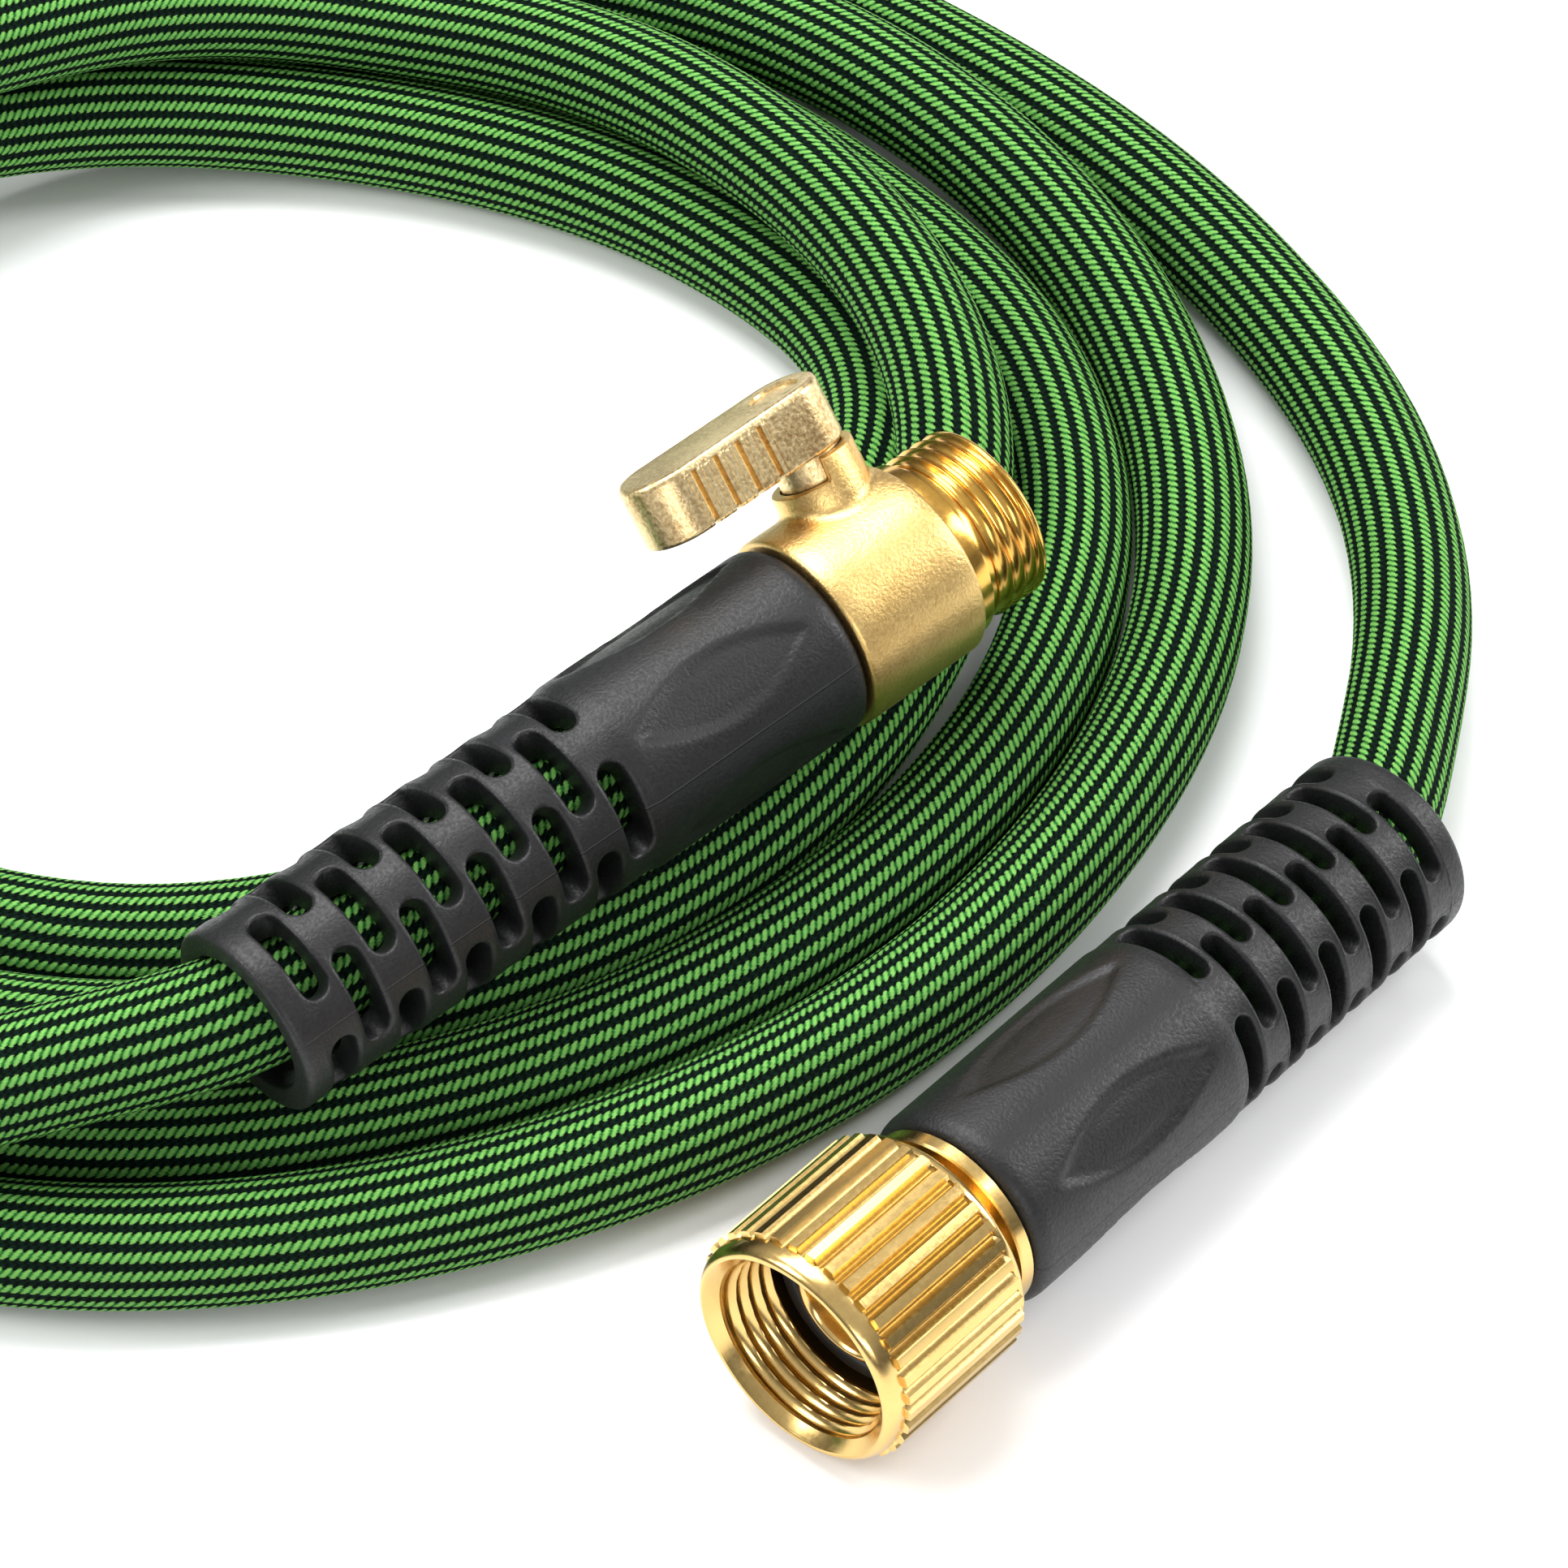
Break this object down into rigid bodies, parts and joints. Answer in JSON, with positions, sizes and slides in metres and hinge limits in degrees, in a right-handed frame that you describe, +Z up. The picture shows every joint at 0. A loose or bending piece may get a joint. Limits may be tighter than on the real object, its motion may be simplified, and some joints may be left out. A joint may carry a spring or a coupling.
{
  "type": "garden hose",
  "caption": "Woven-covered garden hose lying in a loose coil, with a brass lever shut-off valve at one end and a ribbed swivel coupling at the other.",
  "frame": {"origin": "centre of the outline, on the floor that the coil lies on", "axes": "+Z up from the floor, -Y the way the coupling's mouth faces"},
  "size_m": [0.3366, 0.3246, 0.0671],
  "materials": {
    "hose_cover": "woven, green, with lighter lengthwise ribs",
    "grip_rubber": "moulded, satin black",
    "turned_brass": "turned, bright",
    "cast_lever_brass": "cast, paler, slightly rough",
    "ball_steel": "polished",
    "stem_steel": "dark",
    "washer_rubber": "matt black"
  },
  "bodies": {
    "hose_and_grips": {"hose": "hose_cover", "valve_grip": "grip_rubber", "valve_body": "turned_brass", "coupling_grip": "grip_rubber", "coupling_insert": "turned_brass"},
    "lever": {"valve_lever": "cast_lever_brass", "valve_stem": "stem_steel", "valve_ball": "ball_steel"},
    "nut": {"coupling_nut": "turned_brass", "coupling_washer": "washer_rubber"}
  },
  "joints": [
    {"name": "lever_turn", "type": "hinge", "parent": "hose_and_grips", "child": "lever", "pos_m": [0.08144, 0.03699, 0.03929], "axis": [-0.6162, 0.0319, 0.7869], "range_deg": [0, 90]},
    {"name": "nut_turn", "type": "hinge", "parent": "hose_and_grips", "child": "nut", "pos_m": [0.15069, -0.04485, 0.01805], "axis": [0, -0.9994, 0.0332], "continuous": true}
  ]
}
